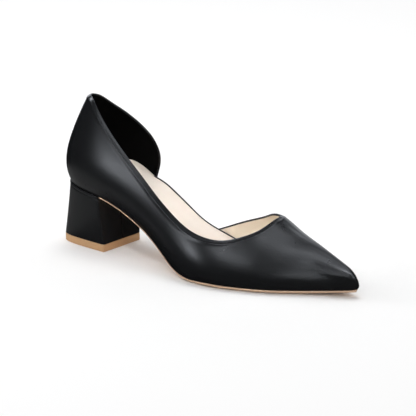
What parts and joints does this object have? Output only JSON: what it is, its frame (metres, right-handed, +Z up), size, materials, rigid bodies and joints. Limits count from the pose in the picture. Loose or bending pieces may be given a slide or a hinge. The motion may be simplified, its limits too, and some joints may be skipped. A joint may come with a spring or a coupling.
{
  "type": "high heel",
  "caption": "Pointed-toe pump with a closed outer side, an open inner side and a flared block heel, worn on the right foot.",
  "frame": {"origin": "on the floor under the middle of the shoe's box", "axes": "+X to the toe, +Y to the inner side of the foot, +Z up"},
  "size_m": [0.2528, 0.0786, 0.1114],
  "materials": {
    "upper_leather": "satin black calf",
    "outsole": "matte tan",
    "wrapped_board": "black wrapped edge",
    "sock_lining": "matte cream",
    "heel_leather": "satin black cover",
    "top_piece": "matte tan"
  },
  "bodies": {
    "root": {"upper": "upper_leather", "outsole": "outsole", "insole_board": "wrapped_board", "sock": "sock_lining", "heel": "heel_leather", "top_piece": "top_piece"}
  },
  "joints": []
}
